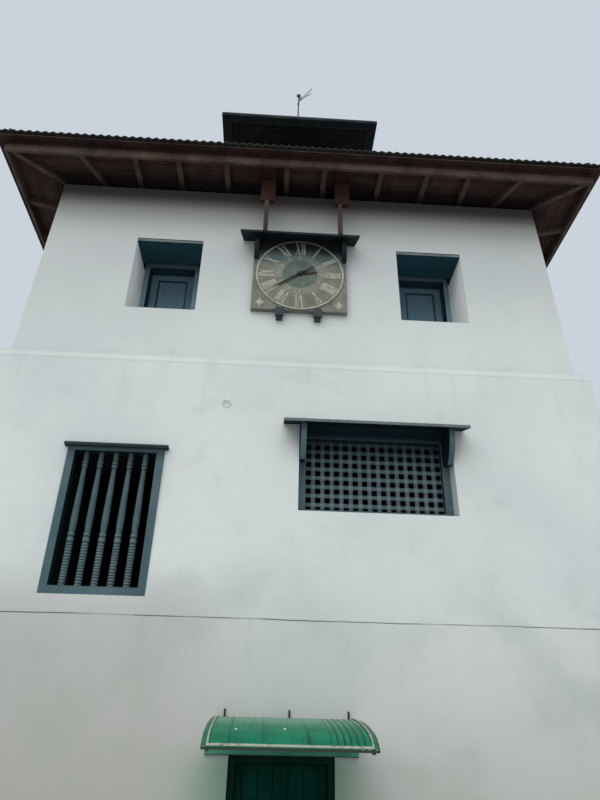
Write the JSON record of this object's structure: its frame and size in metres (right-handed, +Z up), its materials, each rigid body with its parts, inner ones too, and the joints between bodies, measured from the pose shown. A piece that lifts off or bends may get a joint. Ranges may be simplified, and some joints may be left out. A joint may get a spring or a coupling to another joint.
{
  "type": "clock tower",
  "caption": "Square whitewashed masonry clock tower with a tiled hipped roof and lantern, a framed dial under a hood, a lattice window and a door with a canopy.",
  "frame": {"origin": "centre of the tower's square plan at ground level", "axes": "+Z up, the front with the clock and the door faces -Y, +X to the right seen from the front"},
  "size_m": [8.39, 9.0976, 16.3258],
  "materials": {
    "plaster": "limewashed plaster on masonry, stained lower down",
    "roof_tiles": "weathered dark clay tiles",
    "floor_boards": "plain boards",
    "eaves_timber": "old brown paint on timber",
    "blue_joinery": "blue grey paint on timber",
    "green_joinery": "very dark green paint",
    "dial_board": "olive grey paint, weathered",
    "dark_iron": "black painted iron",
    "pale_metal": "dull pale paint",
    "canopy_sheet": "fluted translucent green sheet",
    "canopy_metal": "dull aluminium with rust marks"
  },
  "bodies": {
    "tower": {"back_wall_lower": "plaster", "back_wall_upper": "plaster", "baluster_window_frame": "blue_joinery", "canopy_frame": "canopy_metal", "canopy_sheet": "canopy_sheet", "clock_arbor": "dark_iron", "clock_board": "dial_board", "clock_corbels": "blue_joinery", "clock_dial": "dial_board", "clock_hood": "blue_joinery", "clock_hood_brackets": "blue_joinery", "door_frame": "green_joinery", "door_pintles": "dark_iron", "fascia_lower": "eaves_timber", "fascia_upper": "eaves_timber", "floors": "floor_boards", "front_wall_left": "plaster", "front_wall_middle": "plaster", "front_wall_over_door": "plaster", "front_wall_right": "plaster", "front_wall_upper": "plaster", "hip_rafters": "eaves_timber", "hood_posts": "eaves_timber", "lantern_fascia": "eaves_timber", "lantern_frame": "eaves_timber", "lantern_louvres": "eaves_timber", "lantern_roof": "roof_tiles", "lantern_soffit": "eaves_timber", "lattice_frame": "blue_joinery", "lattice_hood": "blue_joinery", "lattice_hood_brackets": "blue_joinery", "lattice_screen": "blue_joinery", "left_wall_lower": "plaster", "left_wall_upper": "plaster", "main_roof": "roof_tiles", "rafter_tails": "eaves_timber", "right_wall_lower": "plaster", "right_wall_upper": "plaster", "shutter_frames": "blue_joinery", "soffit_boards": "eaves_timber", "tie_beam_ends": "eaves_timber", "upper_window_lintels": "blue_joinery", "vane_pole": "dark_iron", "wall_plates": "eaves_timber", "window_balusters": "blue_joinery", "window_shutters": "blue_joinery"},
    "door": {"door_leaf": "green_joinery", "door_straps": "dark_iron"},
    "hour_hand": {"hour_hand": "dark_iron"},
    "minute_hand": {"minute_hand": "dark_iron"},
    "vane": {"weathervane": "pale_metal"}
  },
  "joints": [
    {"name": "door_hinge", "type": "hinge", "parent": "tower", "child": "door", "pos_m": [-0.469, -3.545, 0.5], "axis": [0, 0, 1], "range_deg": [0, 90]},
    {"name": "minute_hand_turn", "type": "hinge", "parent": "tower", "child": "minute_hand", "pos_m": [0, -3.5543, 7.48], "axis": [0, 1, 0], "continuous": true},
    {"name": "hour_hand_turn", "type": "hinge", "parent": "tower", "child": "hour_hand", "pos_m": [0, -3.5543, 7.48], "axis": [0, 1, 0], "continuous": true},
    {"name": "vane_turn", "type": "hinge", "parent": "tower", "child": "vane", "pos_m": [0, 0, 15.98], "axis": [0, 0, 1], "continuous": true}
  ],
  "couplings": [
    {"joint": "hour_hand_turn", "follows": "minute_hand_turn", "ratio": 0.083333}
  ]
}
